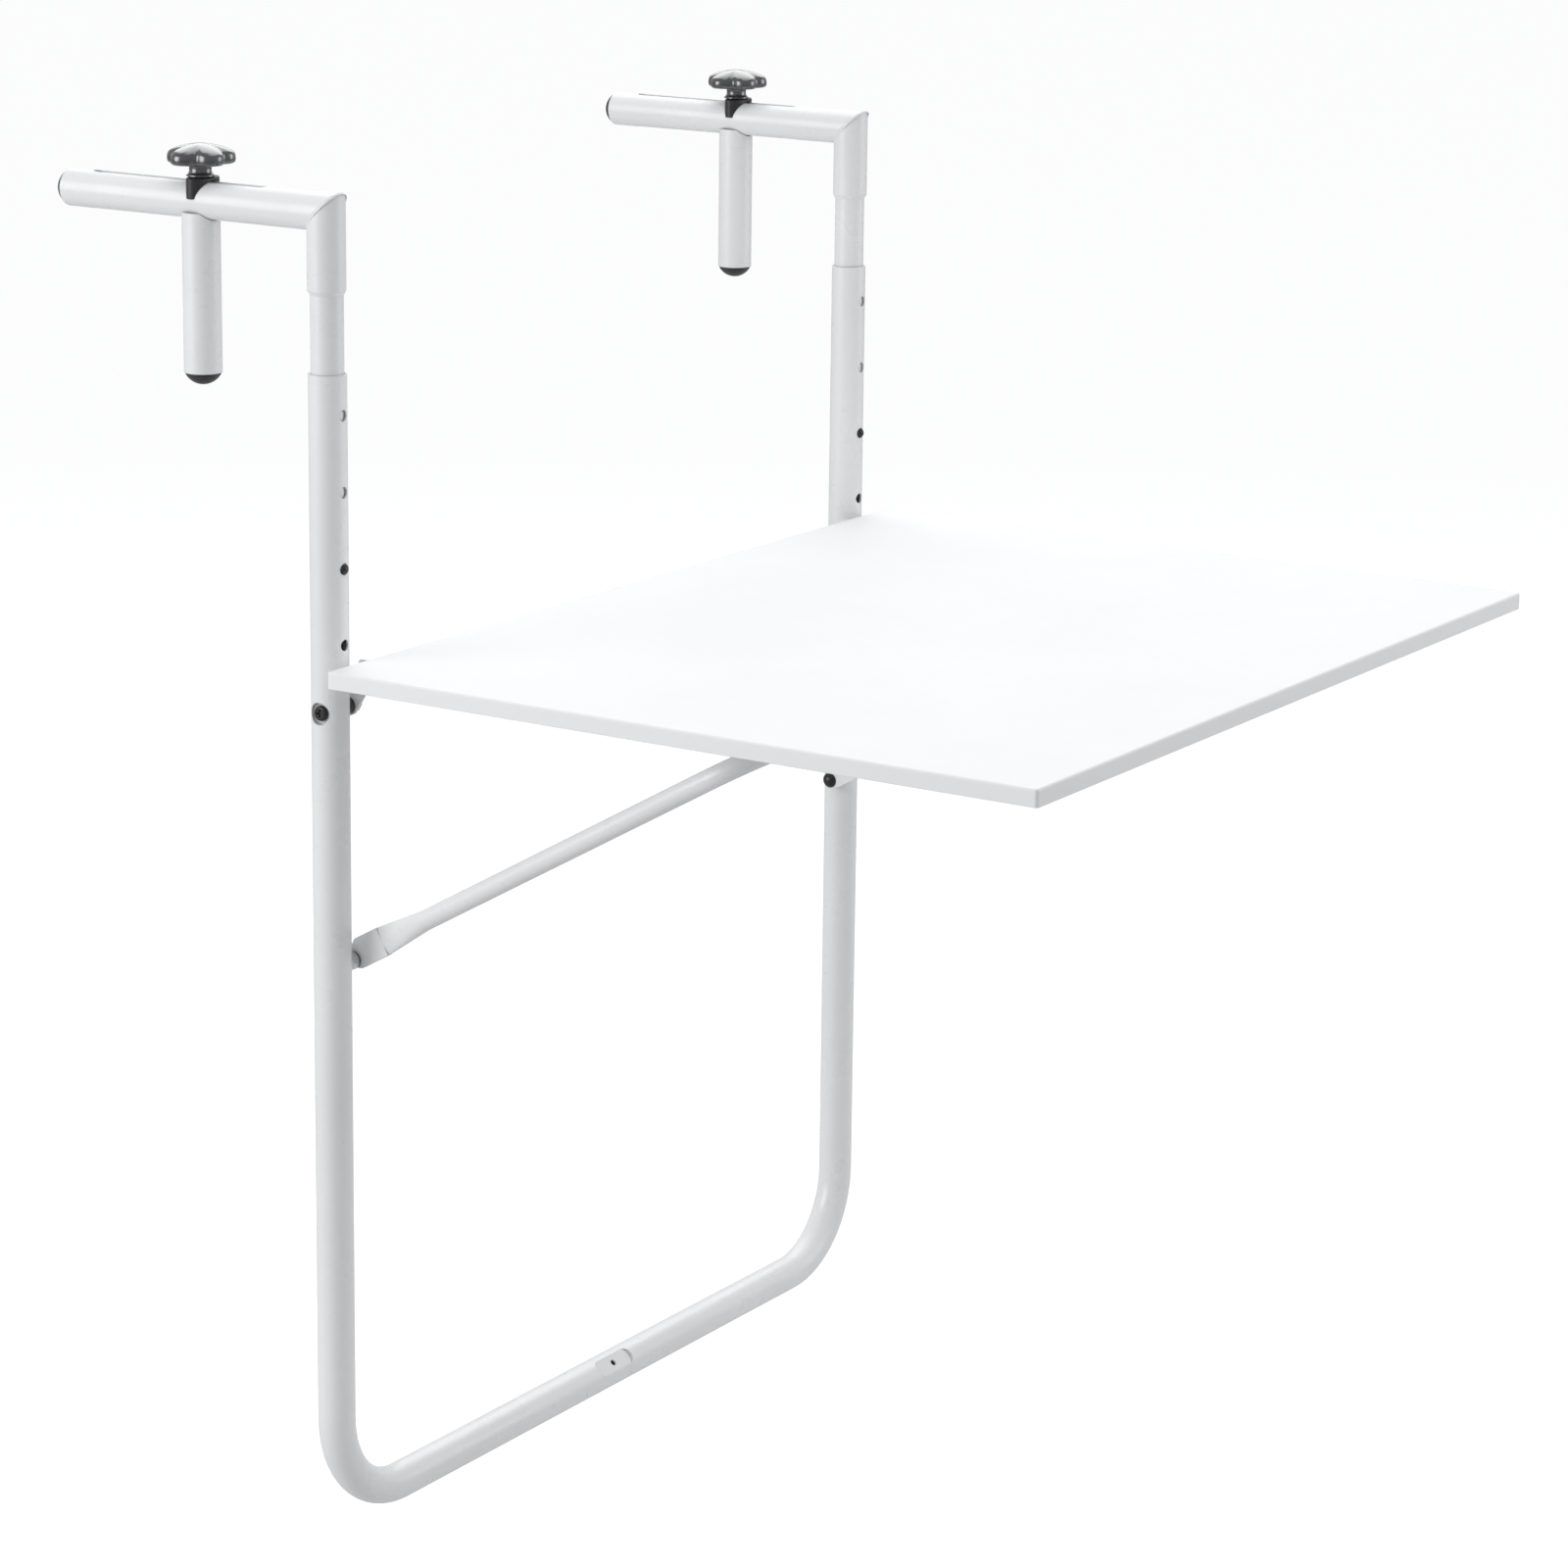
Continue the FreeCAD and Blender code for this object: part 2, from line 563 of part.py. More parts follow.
def rivet_places():
    inner = EAR_OUTER_X - BRACKET_FLANGE + RIVET_END_DISTANCE
    return (inner, EAR_INNER_X - RIVET_END_DISTANCE)


def rivet_point(x, y):
    return point(x, y, TOP_Z - TOP_EDGE / 2)


def hinge_bracket():
    back = TOP_BACK_Y
    top_z = TOP_Z - BRACKET_TOP_GAP
    toe_z = TOP_UNDER_Z - CLAMP_CLEARANCE
    slant = math.radians(EAR_SLANT)
    tip_front = UPRIGHT_Y - EAR_TIP_RADIUS * math.cos(slant)
    tip_low = HINGE_Z - EAR_TIP_RADIUS * math.sin(slant)
    outline = [(back, top_z), (back, toe_z), (back - EAR_TOE, toe_z), (tip_front, tip_low),
               (UPRIGHT_Y, HINGE_Z), (UPRIGHT_Y + EAR_TIP_RADIUS, HINGE_Z),
               (back + EAR_TOP_WIDTH, top_z)]
    ear = prism_along_x(outline, (EAR_INNER_X, EAR_OUTER_X))
    tip = hinge_rod(EAR_TIP_RADIUS, EAR_INNER_X, EAR_OUTER_X)
    flange = box((EAR_OUTER_X - BRACKET_FLANGE, EAR_OUTER_X), (back, back + EAR_PLATE),
                 (top_z - BRACKET_DROP, top_z))
    holes = [hinge_rod(BOLT_RADIUS + BOLT_CLEARANCE, EAR_INNER_X - OVERRUN, EAR_OUTER_X + OVERRUN)]
    for x in rivet_places():
        holes.append(cylinder(RIVET_RADIUS, rivet_point(x, back - OVERRUN),
                              rivet_point(x, back + EAR_PLATE + OVERRUN)))
    return joined([ear, tip, flange]).cut(holes)


def bracket_rivets():
    rivets = []
    for x in rivet_places():
        face = rivet_point(x, TOP_BACK_Y + EAR_PLATE)
        inside = rivet_point(x, TOP_BACK_Y - SHEET)
        shank = cylinder(RIVET_RADIUS, inside, face)
        rivets.append(joined([shank, dome(RIVET_HEAD_RADIUS, RIVET_HEAD, face, Y_AXIS),
                              dome(RIVET_HEAD_RADIUS, RIVET_HEAD, inside, Y_AXIS * -1)]))
    return Part.makeCompound(rivets + [mirrored(rivet) for rivet in rivets])


def tray_with_rivet_holes():
    holes = [cylinder(RIVET_RADIUS, rivet_point(x, TOP_BACK_Y - 2 * SHEET),
                      rivet_point(x, TOP_BACK_Y + OVERRUN)) for x in rivet_places()]
    return tabletop().cut(holes + [mirrored(hole) for hole in holes])


# Hinge bolt, spacer and nut
def upright_rod(radius, middle_z):
    return cylinder(radius, point(UPRIGHT_X, UPRIGHT_Y, middle_z - REACH),
                    point(UPRIGHT_X, UPRIGHT_Y, middle_z + REACH))


def against_upright(radius, start_x, y, z):
    rod = cylinder(radius, point(start_x, y, z), point(UPRIGHT_X, y, z))
    return rod.cut(upright_rod(TUBE_RADIUS, z))


def hinge_spacer():
    start = EAR_OUTER_X + HINGE_PLAY
    ring = against_upright(HINGE_SPACER_RADIUS, start, UPRIGHT_Y, HINGE_Z)
    return ring.cut(hinge_rod(BOLT_RADIUS, start - OVERRUN, UPRIGHT_X))


def hinge_bolt():
    nut_start = EAR_INNER_X - NUT_PLAY
    face_x = HINGE_SEAT_X + BOLT_HEAD
    head = hinge_rod(BOLT_HEAD_RADIUS, HINGE_SEAT_X, face_x)
    face_edges = [edge for edge in head.Edges if abs(edge.BoundBox.XMin - face_x) < TOLERANCE]
    head = head.makeFillet(BOLT_HEAD / 2, face_edges)
    depth_span = (face_x - RECESS_DEPTH, face_x + OVERRUN)
    half_long = RECESS_LENGTH / 2
    half_wide = RECESS_WIDTH / 2
    cross = [box(depth_span, (UPRIGHT_Y - a, UPRIGHT_Y + a), (HINGE_Z - b, HINGE_Z + b))
             for a, b in ((half_long, half_wide), (half_wide, half_long))]
    shank = hinge_rod(BOLT_RADIUS, nut_start - NUT_HEIGHT - BOLT_PAST_NUT, HINGE_SEAT_X)
    return joined([head, shank]).cut(cross)


def hinge_nut():
    start = EAR_INNER_X - NUT_PLAY
    end = start - NUT_HEIGHT
    corner_radius = NUT_FLATS / 2 / math.cos(math.pi / 6)
    outline = []
    for corner in range(6):
        angle = math.pi / 3 * corner
        outline.append((UPRIGHT_Y + corner_radius * math.cos(angle),
                        HINGE_Z + corner_radius * math.sin(angle)))
    return prism_along_x(outline, (end, start)).cut(
        hinge_rod(BOLT_RADIUS, end - OVERRUN, start + OVERRUN))


# Support bar: a bent tube with flattened, drilled ends, built level and then raised
def support_core(radius):
    side_end = -(SUPPORT_LENGTH - SUPPORT_BEND_RADIUS)
    side_start = -(FLAT_LENGTH + FLARE_LENGTH)
    bend_x = SIDE_X - SUPPORT_BEND_RADIUS
    level = PIVOT_BELOW_AXIS
    bend_start = point(SIDE_X, side_end, level)
    side = cylinder(radius, point(SIDE_X, side_start, level), bend_start)
    bend = elbow(radius, SUPPORT_BEND_RADIUS, bend_start, Y_AXIS,
                 point(bend_x, side_end, level), Z_AXIS * -1)
    cross = cylinder(radius, point(-bend_x, -SUPPORT_LENGTH, level),
                     point(bend_x, -SUPPORT_LENGTH, level))
    return joined([cross, side, bend, mirrored(side), mirrored(bend)])


def flared_end():
    turn = FreeCAD.Rotation(point(0, 0, 1), point(1, 0, 0), point(0, -1, 0), "ZXY")
    round_wire = Part.Wire(Part.Circle(ORIGIN, Z_AXIS, SUPPORT_RADIUS).toShape())
    flat_wire = Part.Wire(Part.Ellipse(ORIGIN, FLAT_WIDTH / 2, FLAT_THICKNESS / 2).toShape())
    flare_start = point(SIDE_X, -FLAT_LENGTH - FLARE_LENGTH, PIVOT_BELOW_AXIS)
    round_wire.Placement = FreeCAD.Placement(flare_start, turn)
    flat_wire.Placement = FreeCAD.Placement(point(SIDE_X, -FLAT_LENGTH, PIVOT_BELOW_AXIS), turn)
    flare = Part.makeLoft([flat_wire, round_wire], True)
    low = PIVOT_BELOW_AXIS - FLAT_WIDTH / 2
    high = PIVOT_BELOW_AXIS + FLAT_WIDTH / 2
    x_span = (SIDE_X - FLAT_THICKNESS / 2, SIDE_X + FLAT_THICKNESS / 2)
    slant = math.radians(EYE_SLANT)
    outline = [(-FLAT_LENGTH, high), (-EYE_SHOULDER, high),
               (EYE_RADIUS * math.cos(slant), EYE_RADIUS * math.sin(slant)), (0, 0), (0, -EYE_RADIUS),
               (-EYE_TOE, low), (-FLAT_LENGTH, low)]
    plate = prism_along_x(outline, x_span)
    eye = cylinder(EYE_RADIUS, point(x_span[0], 0, 0), point(x_span[1], 0, 0))
    hole = cylinder(BOLT_RADIUS + BOLT_CLEARANCE, point(x_span[0] - OVERRUN, 0, 0),
                    point(x_span[1] + OVERRUN, 0, 0))
    return joined([plate, eye, flare]).cut(hole)


def support_bar():
    end = flared_end()
    bar = joined([support_core(SUPPORT_RADIUS), end, mirrored(end)])
    vent = cylinder(SUPPORT_VENT_RADIUS, point(0, -SUPPORT_LENGTH, PIVOT_BELOW_AXIS),
                    point(0, -SUPPORT_LENGTH + REACH, PIVOT_BELOW_AXIS))
    bar = bar.cut([support_core(SUPPORT_RADIUS - SUPPORT_WALL), vent])
    bar.rotate(ORIGIN, X_AXIS, -SUPPORT_ANGLE)
    bar.translate(point(0, PIVOT_Y, PIVOT_Z))
    return bar


# Support pivots: bolt, washer and spacer screwed into an insert in the upright
def pivot_rod(radius, start_x, end_x):
    return cylinder(radius, point(start_x, PIVOT_Y, PIVOT_Z), point(end_x, PIVOT_Y, PIVOT_Z))


def pivot_washer_start():
    return SIDE_X + FLAT_THICKNESS / 2 + PIVOT_PLAY


def pivot_washer():
    start = pivot_washer_start()
    end = start + PIVOT_WASHER
    return pivot_rod(PIVOT_WASHER_RADIUS, start, end).cut(
        pivot_rod(BOLT_RADIUS, start - OVERRUN, end + OVERRUN))


def pivot_spacer():
    start = pivot_washer_start() + PIVOT_WASHER
    ring = against_upright(PIVOT_SPACER_RADIUS, start, PIVOT_Y, PIVOT_Z)
    return ring.cut(pivot_rod(BOLT_RADIUS, start - OVERRUN, UPRIGHT_X))


def insert_face_x():
    return UPRIGHT_X - math.sqrt(TUBE_RADIUS ** 2 - PIVOT_FORWARD ** 2)


def pivot_insert():
    face = insert_face_x()
    body_start = face - 2 * OVERRUN
    body = pivot_rod(INSERT_RADIUS, body_start, face + INSERT_LENGTH).common(
        upright_rod(TUBE_RADIUS, PIVOT_Z))
    bulb = pivot_rod(INSERT_BULB_RADIUS, face, face + TUBE_WALL + INSERT_BULB).common(
        upright_rod(BORE_RADIUS, PIVOT_Z))
    return joined([body, bulb]).cut(
        pivot_rod(BOLT_RADIUS, body_start, face + INSERT_LENGTH + OVERRUN))


def pivot_bolt():
    head_face = SIDE_X - FLAT_THICKNESS / 2 - PIVOT_PLAY
    head = dome(PIVOT_HEAD_RADIUS, PIVOT_HEAD, point(head_face, PIVOT_Y, PIVOT_Z), X_AXIS * -1)
    return joined([head, pivot_rod(BOLT_RADIUS, head_face, insert_face_x() + INSERT_LENGTH)])


# Catches under the top that hold the support bar's crossbar
def catch_screw_places():
    wall_back = CROSSBAR_Y + SUPPORT_RADIUS + CATCH_GAP + CATCH_WALL
    ramp_front = CROSSBAR_Y - RAMP_START - RAMP_LENGTH
    return (wall_back + CATCH_PAD / 2, ramp_front - CATCH_PAD / 2)


def bar_catch():
    face = TOP_UNDER_Z
    base = face - CATCH_BASE
    wall_front = CROSSBAR_Y + SUPPORT_RADIUS + CATCH_GAP
    wall_back = wall_front + CATCH_WALL
    wall_low = face - CATCH_WALL_DROP
    ramp_start = CROSSBAR_Y - RAMP_START
    ramp_front = ramp_start - RAMP_LENGTH
    outline = [(ramp_front - CATCH_PAD, face), (ramp_front - CATCH_PAD, base), (ramp_front, base),
               (ramp_front, base - RAMP_DROP), (ramp_start, base - RAMP_LEAD_GAP), (ramp_start, base),
               (wall_front, base), (wall_front, wall_low), (wall_back, wall_low), (wall_back, base),
               (wall_back + CATCH_PAD, base), (wall_back + CATCH_PAD, face)]
    half_width = CATCH_WIDTH / 2
    body = prism_along_x(outline, (STIFFENER_X - half_width, STIFFENER_X + half_width))
    holes = [cylinder(SCREW_RADIUS, point(STIFFENER_X, y, base - OVERRUN),
                      point(STIFFENER_X, y, face + OVERRUN)) for y in catch_screw_places()]
    return body.cut(holes)


def catch_screws():
    base = TOP_UNDER_Z - CATCH_BASE
    screws = []
    for y in catch_screw_places():
        seat = point(STIFFENER_X, y, base)
        shank = cylinder(SCREW_RADIUS, seat, seat + Z_AXIS * SCREW_LENGTH)
        screws.append(joined([shank, dome(SCREW_HEAD_RADIUS, SCREW_HEAD, seat, Z_AXIS * -1)]))
    return Part.makeCompound(screws + [mirrored(screw) for screw in screws])


PAIRS = {
    "hook_upright": hook_upright,
    "hook_arm": hook_arm,
    "arm_plug": arm_plug,
    "snap_button": snap_button,
    "button_spring": button_spring,
    "clamp_leg": clamp_leg,
    "leg_plug": leg_plug,
    "leg_nut": leg_nut,
    "clamp_saddle": clamp_saddle,
    "knob_stud": knob_stud,
    "top_stiffener": top_stiffener,
    "hinge_bracket": hinge_bracket,
    "hinge_spacer": hinge_spacer,
    "hinge_bolt": hinge_bolt,
    "hinge_nut": hinge_nut,
    "pivot_washer": pivot_washer,
    "pivot_spacer": pivot_spacer,
    "pivot_insert": pivot_insert,
    "pivot_bolt": pivot_bolt,
    "bar_catch": bar_catch,
}

SINGLES = {
    "u_frame": u_frame,
    "tabletop": tray_with_rivet_holes,
    "support_bar": support_bar,
    "clamp_knob_right": right_knob,
    "clamp_knob_left": left_knob,
    "bracket_rivets": bracket_rivets,
    "catch_screws": catch_screws,
}


def main():
    os.makedirs("parts", exist_ok=True)
    for name, make in SINGLES.items():
        make().exportStep(f"parts/{name}.step")
    for name, make in PAIRS.items():
        shape = make()
        shape.exportStep(f"parts/{name}_right.step")
        mirrored(shape).exportStep(f"parts/{name}_left.step")


main()
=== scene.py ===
import bpy
import bmesh
import json
import math
from mathutils import Matrix, Vector


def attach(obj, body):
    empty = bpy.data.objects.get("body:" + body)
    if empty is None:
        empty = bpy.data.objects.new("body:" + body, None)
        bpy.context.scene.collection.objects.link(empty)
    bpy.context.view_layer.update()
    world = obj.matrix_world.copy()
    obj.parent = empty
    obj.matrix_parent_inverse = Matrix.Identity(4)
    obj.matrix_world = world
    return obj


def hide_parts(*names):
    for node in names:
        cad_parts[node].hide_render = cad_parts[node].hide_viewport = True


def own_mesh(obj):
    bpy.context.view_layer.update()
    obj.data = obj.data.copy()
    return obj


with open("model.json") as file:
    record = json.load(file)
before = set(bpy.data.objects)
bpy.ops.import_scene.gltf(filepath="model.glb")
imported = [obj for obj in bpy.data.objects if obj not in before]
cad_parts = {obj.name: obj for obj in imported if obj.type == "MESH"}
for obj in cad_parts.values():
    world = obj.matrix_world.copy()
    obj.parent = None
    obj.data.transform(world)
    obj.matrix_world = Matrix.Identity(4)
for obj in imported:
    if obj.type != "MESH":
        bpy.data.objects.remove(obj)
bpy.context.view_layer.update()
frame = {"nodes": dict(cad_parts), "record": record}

scene = bpy.context.scene
MM = 0.001
SIDES = {"left": -1, "right": 1}

# Sizes and places of the part, in millimetres in the row frame
UPRIGHT_X = 276.0
TUBE_RADIUS = 11.0

KNOB_Y = 79.0
KNOB_BASE_Z = 24.3
KNOB_HEAD_Z = 31.3
KNOB_RADIUS = 20.2
KNOB_LOBES = 5
KNOB_LOBE_RADIUS = 8.0
KNOB_WAIST = 15.0
KNOB_TURN = {"left": 180 - 6.1, "right": 22.3}  # degrees
KNOB_CIRCLE_SHARE = 0.84
KNOB_STEPS = 144
HUB_RADIUS = 6.4
HUB_FOOT_RADIUS = 8.2
STUD_RADIUS = 3.0
STUD_SOCKET_TOP = 37.3

SPRING_FRONT_Y = -16.8
SPRING_REAR_Y = -3.4
SPRING_LOW_Z = -195.0
SPRING_BEND_Z = -171.0
SPRING_THICKNESS = 0.5
SPRING_HALF_WIDTH = 3.0
SPRING_BEND_STEPS = 16

WELD_HALF_WIDTH = 1.0
WELD_HEIGHT = 0.26
WELD_RIPPLES = ((0.10, 46, 0.0), (0.06, 17, 1.3))  # size, waves around, phase
WELD_HEIGHT_RIPPLE = 0.5
WELD_STATIONS = 180
WELD_POINTS = 10

# Studio, in metres and watts
FLOOR_Z = -1.05
FLOOR_REACH = 30.0
AMBIENT_STRENGTH = 0.52
LAMP_TARGET = Vector((0.0, -0.15, -0.35))
LAMPS = [  # name, direction from the target, distance, side, power
    ("lamp_above", (0.05, -0.10, 1.0), 2.6, 1.4, 8.0),
    ("lamp_left", (-0.85, 0.50, 0.28), 2.8, 1.6, 32.0),
    ("lamp_right", (0.62, -0.80, 0.25), 3.0, 1.6, 20.0),
    ("lamp_behind", (0.78, 0.52, 1.05), 3.0, 3.0, 50.0)]

# Camera: angles in degrees, place in millimetres, focal length in the photograph's pixels
CAMERA_ANGLES = (-57.371, 12.382, 0.709)  # azimuth, elevation, roll
CAMERA_PLACE = Vector((-2304.98, -1616.25, 342.58))
CAMERA_FOCAL_LENGTH = 4737.7
CAMERA_SHIFT_Y = -0.10
PHOTO_WIDTH = 1600.0
SENSOR_WIDTH = 36.0

# Wear, dirt and painted shade in crevices that all the part's materials share; noise scales
# are per metre
BLOTCH_SCALE, BLOTCH_AMOUNT = 7.0, 0.7
MOTTLE_SCALE, MOTTLE_AMOUNT = 140.0, 0.25
SCUFF_SCALE = 260.0
ROUGHNESS_SCALE = 38.0
# Painted shade in crevices: how far ambient occlusion looks, the dark grey it paints and how
# strongly
PAINTED_SHADE_REACH = 0.006
PAINTED_SHADE_TONE = (0.08, 0.08, 0.08)
PAINTED_SHADE_AMOUNT = 0.42


# Materials
class Nodes:
    """A material with one principled shader, and helpers that add nodes to it."""

    def __init__(self, name):
        self.material = bpy.data.materials.new(name)
        self.material.use_nodes = True
        self.tree = self.material.node_tree
        self.tree.nodes.clear()
        self.output = self.add("ShaderNodeOutputMaterial")
        self.shader = self.add("ShaderNodeBsdfPrincipled")
        self.link(self.shader.outputs["BSDF"], self.output.inputs["Surface"])
        self.place = self.add("ShaderNodeTexCoord").outputs["Object"]

    def add(self, kind, **settings):
        node = self.tree.nodes.new(kind)
        for key, value in settings.items():
            setattr(node, key, value)
        return node

    def link(self, source, target):
        self.tree.links.new(source, target)

    def noise(self, scale, detail=3.0, roughness=0.55):
        node = self.add("ShaderNodeTexNoise")
        node.inputs["Scale"].default_value = scale
        node.inputs["Detail"].default_value = detail
        node.inputs["Roughness"].default_value = roughness
        self.link(self.place, node.inputs["Vector"])
        return node.outputs["Fac"]

    def spread(self, source, low, high, out_low=0.0, out_high=1.0):
        node = self.add("ShaderNodeMapRange")
        node.inputs["From Min"].default_value = low
        node.inputs["From Max"].default_value = high
        node.inputs["To Min"].default_value = out_low
        node.inputs["To Max"].default_value = out_high
        self.link(source, node.inputs["Value"])
        return node.outputs["Result"]

    def mix(self, factor, first, second):
        node = self.add("ShaderNodeMix", data_type="RGBA")
        self.link(factor, node.inputs["Factor"])
        for value, target in ((first, node.inputs["A"]), (second, node.inputs["B"])):
            if isinstance(value, tuple):
                target.default_value = (*value, 1.0)
            else:
                self.link(value, target)
        return node.outputs["Result"]

    def times(self, source, factor):
        node = self.add("ShaderNodeMath", operation="MULTIPLY")
        self.link(source, node.inputs[0])
        if isinstance(factor, float):
            node.inputs[1].default_value = factor
        else:
            self.link(factor, node.inputs[1])
        return node.outputs["Value"]

    def edges(self, radius):
        """Rounded normal, and a mask that is 1 along sharp edges."""
        bevel = self.add("ShaderNodeBevel", samples=6)
        bevel.inputs["Radius"].default_value = radius
        flat = self.add("ShaderNodeNewGeometry").outputs["Normal"]
        dot = self.add("ShaderNodeVectorMath", operation="DOT_PRODUCT")
        self.link(bevel.outputs["Normal"], dot.inputs[0])
        self.link(flat, dot.inputs[1])
        return bevel.outputs["Normal"], self.spread(dot.outputs["Value"], 0.995, 0.86)

    def painted_crevice_shade(self):
        """A painted-shade mask from ambient occlusion, highest deep in corners and gaps where
        shade falls.
        """
        node = self.add("ShaderNodeAmbientOcclusion", samples=4)
        node.inputs["Distance"].default_value = PAINTED_SHADE_REACH
        return self.spread(node.outputs["AO"], 0.15, 0.80, PAINTED_SHADE_AMOUNT, 0.0)

    def bump(self, height, strength, distance, normal):
        node = self.add("ShaderNodeBump")
        node.inputs["Strength"].default_value = strength
        node.inputs["Distance"].default_value = distance
        self.link(height, node.inputs["Height"])
        self.link(normal, node.inputs["Normal"])
        return node.outputs["Normal"]

    def set(self, **values):
        for key, value in values.items():
            target = self.shader.inputs[key.replace("_", " ")]
            if isinstance(value, (int, float)):
                target.default_value = value
            else:
                self.link(value, target)


def surface(name, base, tint, worn, rough, grain, bevel, metallic=0.0, specular=0.5, coat=0.0):
    """base, tint: the colour's two ends; worn: (colour, amount) along edges;
    rough: (low, high); grain: list of (scale, strength, distance), coarse first."""
    nodes = Nodes(name)
    rounded, edge = nodes.edges(bevel)
    blotch = nodes.spread(nodes.noise(BLOTCH_SCALE, 4.0), 0.35, 0.68)
    mottle = nodes.spread(nodes.noise(MOTTLE_SCALE, 2.0), 0.45, 0.75)
    scuffs = nodes.times(edge, nodes.spread(nodes.noise(SCUFF_SCALE), 0.4, 0.62))
    colour = nodes.mix(nodes.times(blotch, BLOTCH_AMOUNT), base, tint)
    colour = nodes.mix(nodes.times(mottle, MOTTLE_AMOUNT), colour, tint)
    colour = nodes.mix(nodes.times(scuffs, worn[1]), colour, worn[0])
    # Painted shade: corners and gaps darkened towards a dark grey where ambient occlusion
    # finds them
    colour = nodes.mix(nodes.painted_crevice_shade(), colour, PAINTED_SHADE_TONE)
    roughness = nodes.spread(nodes.noise(ROUGHNESS_SCALE), 0.3, 0.7, *rough)
    normal = rounded
    for scale, strength, distance in grain:
        normal = nodes.bump(nodes.noise(scale, 2.0), strength, distance, normal)
    nodes.set(Base_Color=colour, Roughness=roughness, Normal=normal)
    nodes.set(Metallic=metallic, Specular_IOR_Level=specular, Coat_Weight=coat)
    return nodes.material


WHITE = surface(
    "white_powder_coat", base=(0.86, 0.86, 0.86), tint=(0.80, 0.805, 0.81),
    worn=((0.50, 0.50, 0.49), 0.35), rough=(0.24, 0.38),
    grain=[(520.0, 0.10, 0.0004), (1700.0, 0.06, 0.0002)], bevel=0.0007, specular=0.55)
WHITE_SHEET = surface(
    "white_powder_coat_on_sheet", base=(0.90, 0.90, 0.90), tint=(0.865, 0.87, 0.875),
    worn=((0.62, 0.62, 0.61), 0.30), rough=(0.42, 0.56),
    grain=[(430.0, 0.10, 0.0004), (1500.0, 0.06, 0.0002)], bevel=0.0006, specular=0.35)
BLACK = surface(
    "black_plastic", base=(0.016, 0.016, 0.018), tint=(0.030, 0.030, 0.033),
    worn=((0.11, 0.11, 0.115), 0.40), rough=(0.34, 0.52),
    grain=[(900.0, 0.16, 0.0003), (2600.0, 0.10, 0.00015)], bevel=0.0006)
GLOSS_BLACK = surface(
    "black_gloss_plastic", base=(0.012, 0.012, 0.016), tint=(0.022, 0.022, 0.028),
    worn=((0.08, 0.08, 0.09), 0.25), rough=(0.16, 0.28),
    grain=[(240.0, 0.05, 0.0004), (1800.0, 0.05, 0.0001)], bevel=0.0005,
    specular=0.8, coat=1.0)
gloss_shader = GLOSS_BLACK.node_tree.nodes["Principled BSDF"]
gloss_shader.inputs["Coat IOR"].default_value = 1.8
gloss_shader.inputs["Coat Roughness"].default_value = 0.24
BLACK_STEEL = surface(
    "black_steel", base=(0.035, 0.034, 0.034), tint=(0.06, 0.058, 0.056),
    worn=((0.36, 0.35, 0.34), 0.75), rough=(0.26, 0.44),
    grain=[(800.0, 0.14, 0.0003), (2400.0, 0.10, 0.0001)], bevel=0.0004, metallic=0.8)
PLATED = surface(
    "plated_steel", base=(0.66, 0.66, 0.67), tint=(0.52, 0.52, 0.54),
    worn=((0.84, 0.84, 0.84), 0.6), rough=(0.22, 0.42),
    grain=[(700.0, 0.14, 0.0003), (2200.0, 0.10, 0.0001)], bevel=0.0004, metallic=1.0)

BY_SLOT = {"white_powder_coat": WHITE, "black_plastic": BLACK,
           "black_gloss_plastic": GLOSS_BLACK, "black_steel": BLACK_STEEL,
           "plated_steel": PLATED}
SHEET_NODES = ("tabletop", "top_stiffener_left", "top_stiffener_right")
for part in frame["record"]["subparts"]:
    node = frame["nodes"][part["node"]]
    chosen = WHITE_SHEET if part["node"] in SHEET_NODES else BY_SLOT[part["material_slot"]]
    node.data.materials.clear()
    node.data.materials.append(chosen)


# Mesh helpers; points are given in millimetres
def mesh_object(name, vertices, faces, material, body, smooth=True):
    mesh = bpy.data.meshes.new(name)
    mesh.from_pydata([Vector(v) * MM for v in vertices], [], faces)
    mesh.validate()
    work = bmesh.new()
    work.from_mesh(mesh)
    bmesh.ops.recalc_face_normals(work, faces=work.faces)
    work.to_mesh(mesh)
    work.free()
    for polygon in mesh.polygons:
        polygon.use_smooth = smooth
    mesh.materials.append(material)
    piece = bpy.data.objects.new(name, mesh)
    scene.collection.objects.link(piece)
    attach(piece, body)
    return piece


def rings(loops, closed_ends=False, closed_length=False):
    """Quads between loops of the same number of points."""
    count = len(loops[0])
    vertices = [point for loop in loops for point in loop]
    faces = []
    last = len(loops) if closed_length else len(loops) - 1
    for i in range(last):
        a, b = i * count, ((i + 1) % len(loops)) * count
        for k in range(count):
            m = (k + 1) % count
            faces.append((a + k, a + m, b + m, b + k))
    if closed_ends:
        faces.append(tuple(reversed(range(count))))
        faces.append(tuple(range((len(loops) - 1) * count, len(loops) * count)))
    return vertices, faces


